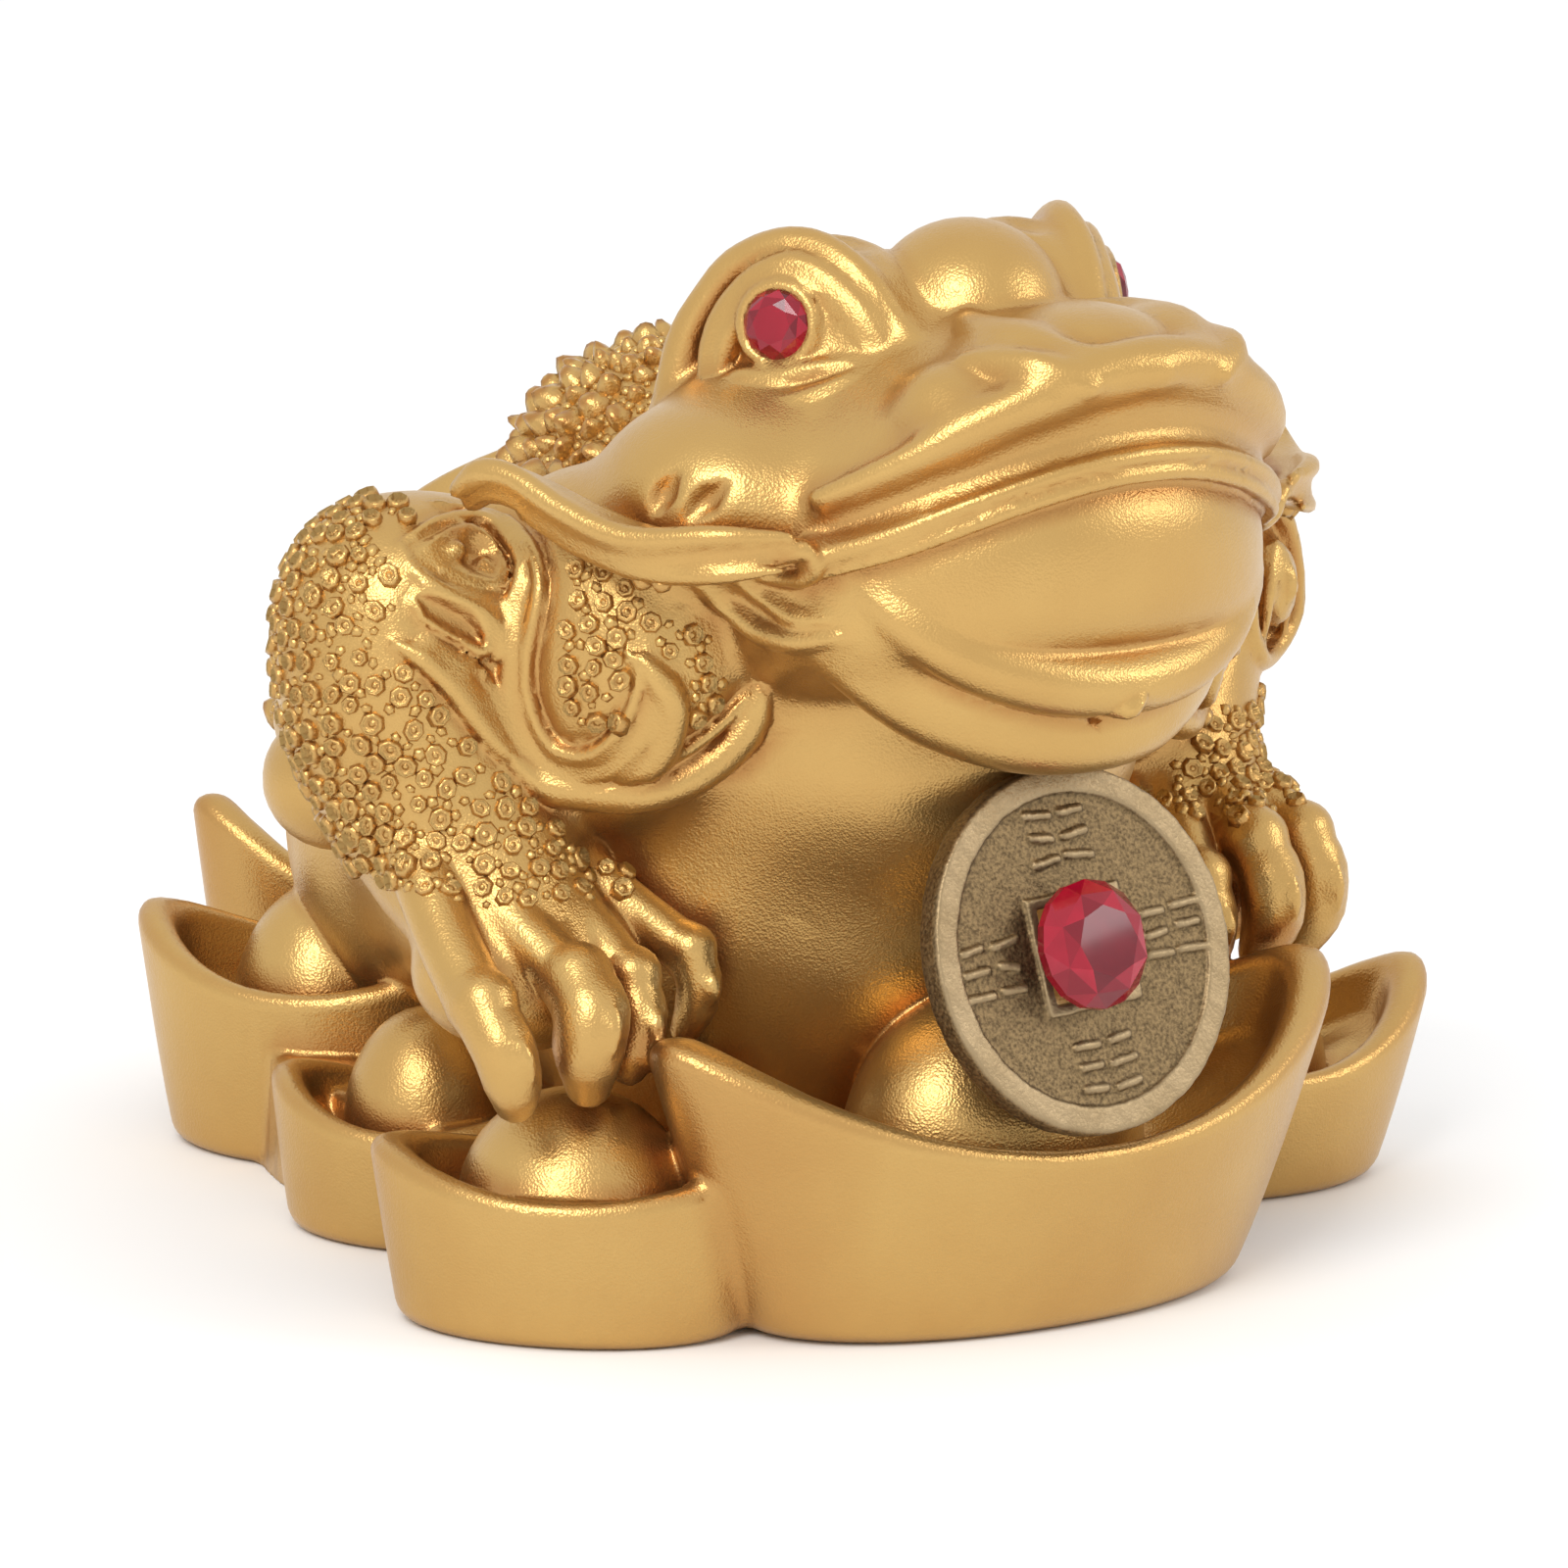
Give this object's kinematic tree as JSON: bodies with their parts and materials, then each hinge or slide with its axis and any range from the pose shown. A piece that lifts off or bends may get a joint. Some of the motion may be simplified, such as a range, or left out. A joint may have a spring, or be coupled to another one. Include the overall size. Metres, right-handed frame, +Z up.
{
  "type": "money toad figure",
  "caption": "Cast resin toad painted gold, sitting on a ring of boat-shaped ingots, with a bronze coin and a large red gem in front and red gem eyes.",
  "frame": {"origin": "on the underside, in the toad's middle plane", "axes": "+Z up, the toad faces -Y, its right side is -X"},
  "size_m": [0.1062, 0.1138, 0.084],
  "materials": {
    "gold_painted_resin": "satin gold metallic paint over solid cast resin, browner in the hollows",
    "aged_bronze": "dull aged bronze with a rubbed, paler rim",
    "red_glass": "polished, faceted red glass"
  },
  "bodies": {
    "root": {"toad_on_ingots": "gold_painted_resin", "coin": "aged_bronze", "coin_gem": "red_glass", "right_eye_gem": "red_glass", "left_eye_gem": "red_glass"}
  },
  "joints": []
}
